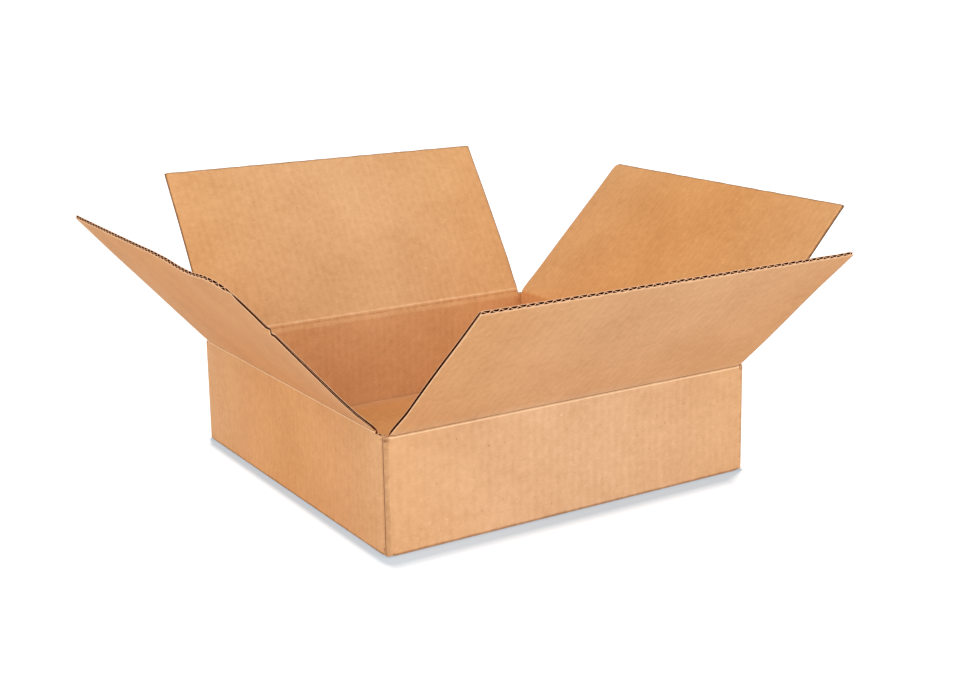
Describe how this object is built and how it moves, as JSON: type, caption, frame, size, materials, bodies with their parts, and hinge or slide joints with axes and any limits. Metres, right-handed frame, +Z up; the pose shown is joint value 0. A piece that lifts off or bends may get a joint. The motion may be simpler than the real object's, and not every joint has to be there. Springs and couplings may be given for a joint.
{
  "type": "open corrugated cardboard box",
  "caption": "Low square shipping box of corrugated board, standing open, with creased top flaps that lean outward and a closed bottom of folded leaves.",
  "frame": {"origin": "middle of the underside, on the surface that the box stands on", "axes": "+Z up, -Y out of the front wall, -X out of the left wall"},
  "size_m": [0.5192, 0.5128, 0.2132],
  "materials": {
    "kraft_board": "matt kraft liner"
  },
  "bodies": {
    "carton": {"carton": "kraft_board"},
    "front_flap": {"front_flap": "kraft_board"},
    "back_flap": {"back_flap": "kraft_board"},
    "left_flap": {"left_flap": "kraft_board"},
    "right_flap": {"right_flap": "kraft_board"}
  },
  "joints": [
    {"name": "front_flap_crease", "type": "hinge", "parent": "carton", "child": "front_flap", "pos_m": [0, -0.1555, 0.084], "axis": [1, 0, 0], "range_deg": [-137.5, 72.5]},
    {"name": "back_flap_crease", "type": "hinge", "parent": "carton", "child": "back_flap", "pos_m": [0, 0.1555, 0.084], "axis": [-1, 0, 0], "range_deg": [-124.5, 85.5]},
    {"name": "left_flap_crease", "type": "hinge", "parent": "carton", "child": "left_flap", "pos_m": [-0.154, 0, 0.0858], "axis": [0, -1, 0], "range_deg": [-132, 78]},
    {"name": "right_flap_crease", "type": "hinge", "parent": "carton", "child": "right_flap", "pos_m": [0.154, 0, 0.0858], "axis": [0, 1, 0], "range_deg": [-134, 76]}
  ]
}
